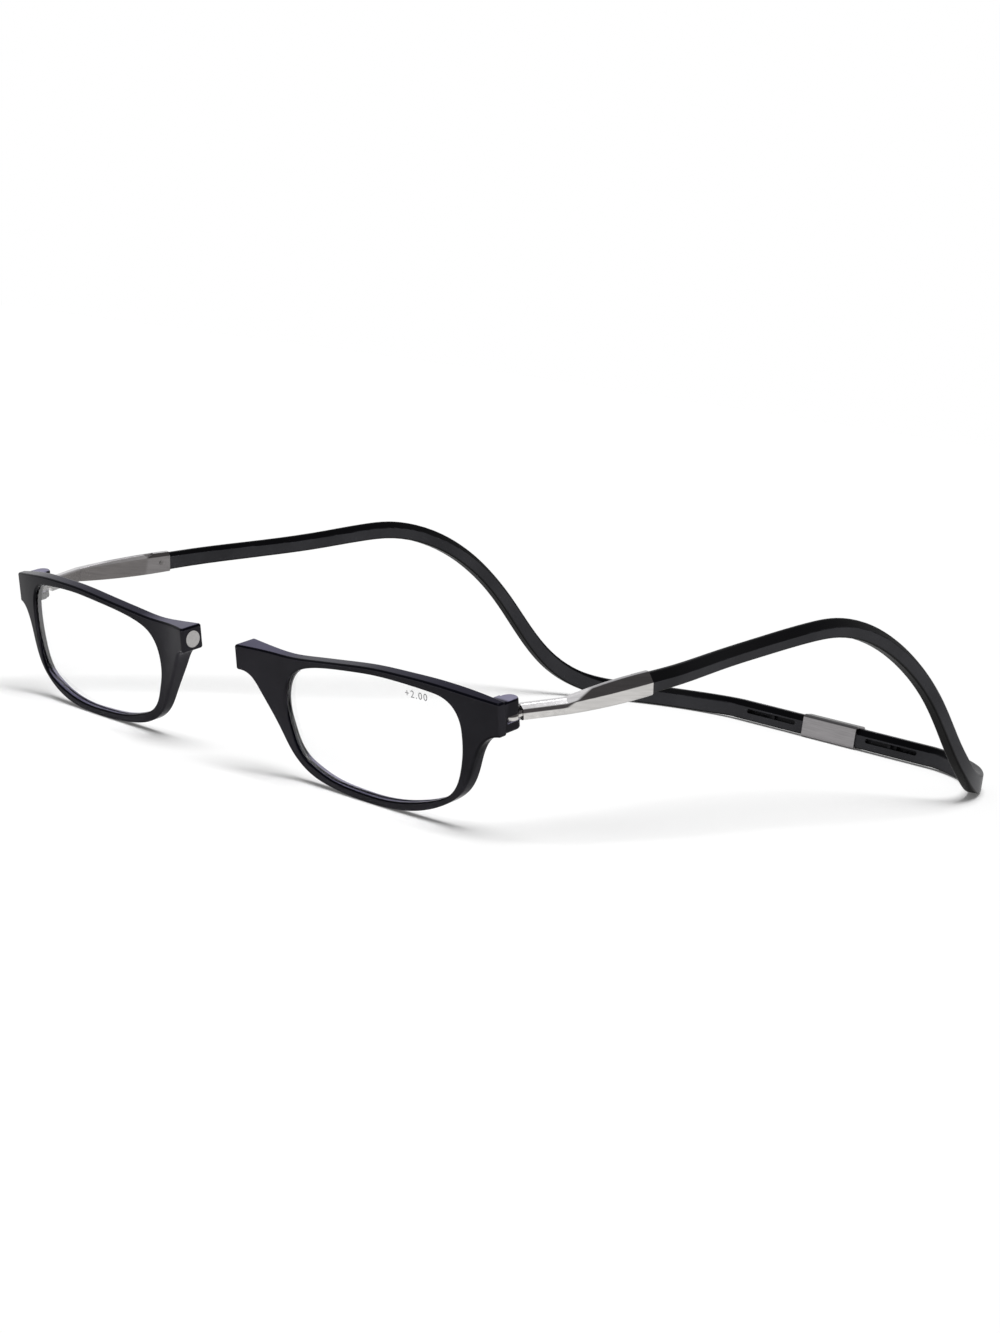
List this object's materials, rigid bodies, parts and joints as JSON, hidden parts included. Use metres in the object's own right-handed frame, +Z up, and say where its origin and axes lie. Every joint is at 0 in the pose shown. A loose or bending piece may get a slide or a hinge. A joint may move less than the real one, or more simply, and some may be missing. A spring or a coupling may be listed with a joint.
{
  "type": "magnetic bridge reading glasses",
  "caption": "Reading glasses that part at a magnetic bridge, with folding rims and a rigid band that wraps the neck and adjusts at the rear.",
  "frame": {"origin": "centre of the footprint, on the table that the rim edges and the rear sleeve rest on", "axes": "+X to the wearer's left, -Y the way the wearer looks, +Z up"},
  "size_m": [0.1584, 0.2268, 0.0446],
  "materials": {
    "rim": "polished midnight blue-black acetate-like plastic",
    "lens": "clear polished reading lens",
    "magnet": "nickel plated neodymium disc",
    "screw": "turned stainless steel",
    "arm": "satin steel casting",
    "rivet": "plain steel pin",
    "band": "semi-matte black flexible plastic",
    "peg": "black nylon",
    "sleeve": "satin steel tube",
    "strap": "black nylon"
  },
  "bodies": {
    "rear_adjuster": {"rear_sleeve": "sleeve", "core_strap": "strap", "stop_peg_left": "peg", "stop_peg_right": "peg"},
    "band_half_left": {"neck_band_left": "band", "arm_left": "arm", "arm_rivet_left": "rivet"},
    "front_left": {"rim_left": "rim", "lens_left": "lens", "bridge_magnet_left": "magnet", "hinge_screw_left": "screw"},
    "band_half_right": {"neck_band_right": "band", "arm_right": "arm", "arm_rivet_right": "rivet"},
    "front_right": {"rim_right": "rim", "lens_right": "lens", "bridge_magnet_right": "magnet", "hinge_screw_right": "screw"}
  },
  "joints": [
    {"name": "band_slide_left", "type": "slide", "parent": "rear_adjuster", "child": "band_half_left", "axis": [1, 0, 0], "range_m": [-0.0084, 0.007]},
    {"name": "band_slide_right", "type": "slide", "parent": "rear_adjuster", "child": "band_half_right", "axis": [-1, 0, 0], "range_m": [-0.0084, 0.007]},
    {"name": "front_fold_left", "type": "hinge", "parent": "band_half_left", "child": "front_left", "pos_m": [0.0746, -0.10025, 0.02394], "axis": [0, -0.274, 0.9617], "range_deg": [-82, 5]},
    {"name": "front_fold_right", "type": "hinge", "parent": "band_half_right", "child": "front_right", "pos_m": [-0.0746, -0.10025, 0.02394], "axis": [0, -0.274, 0.9617], "range_deg": [-5, 82]}
  ]
}
